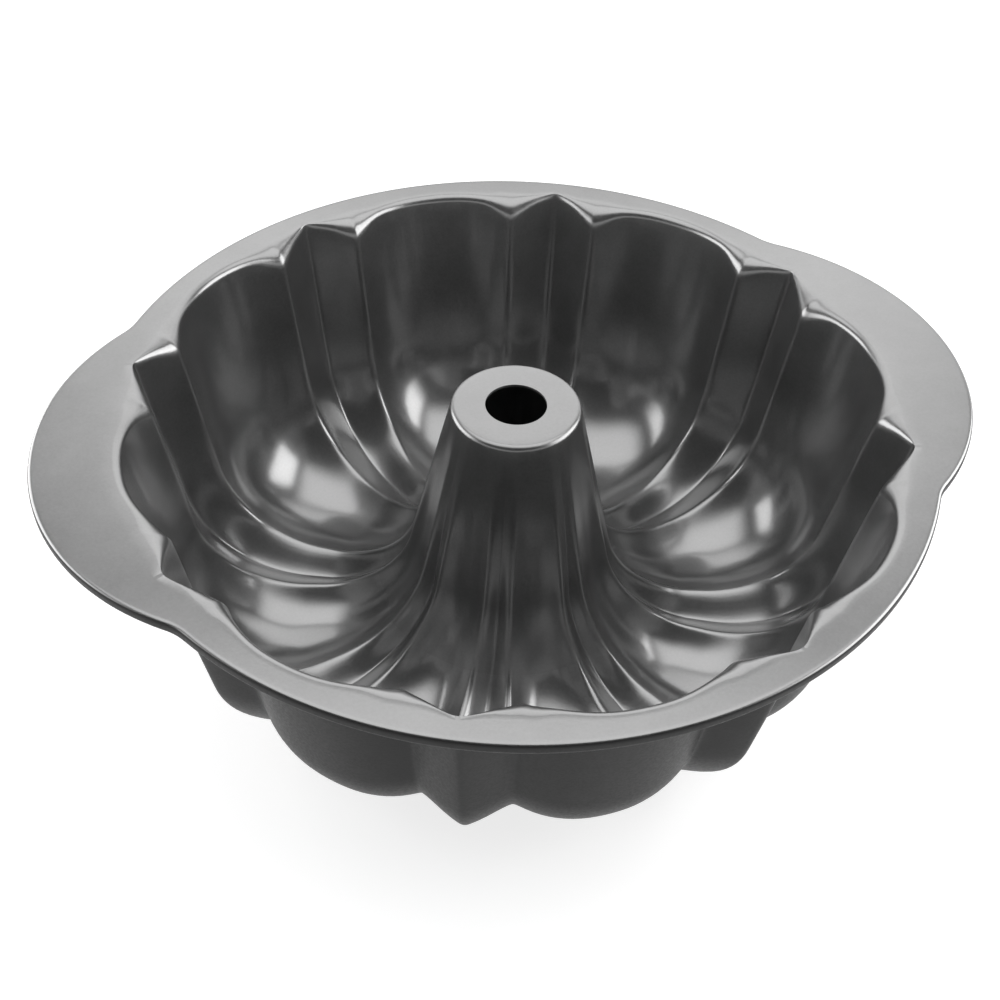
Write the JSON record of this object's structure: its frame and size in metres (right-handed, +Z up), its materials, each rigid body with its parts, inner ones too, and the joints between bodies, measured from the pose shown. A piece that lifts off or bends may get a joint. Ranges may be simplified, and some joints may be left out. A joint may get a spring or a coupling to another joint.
{
  "type": "fluted tube pan",
  "caption": "Deep round cake pan with a fluted trough, a tapered hollow centre tube and a wide flat rim with two handle wings.",
  "frame": {"origin": "centre of the pan at the level it stands on", "axes": "+X through a handle wing, +Y across the handles, +Z up through the centre tube"},
  "size_m": [0.287, 0.254, 0.0885],
  "materials": {
    "coated_steel": "satin dark grey non-stick coat on drawn steel",
    "bare_wire": "drawn steel wire, hidden in the rolled edge"
  },
  "bodies": {
    "root": {"fluted_body": "coated_steel", "centre_tube": "coated_steel", "rim_wire": "bare_wire"}
  },
  "joints": []
}
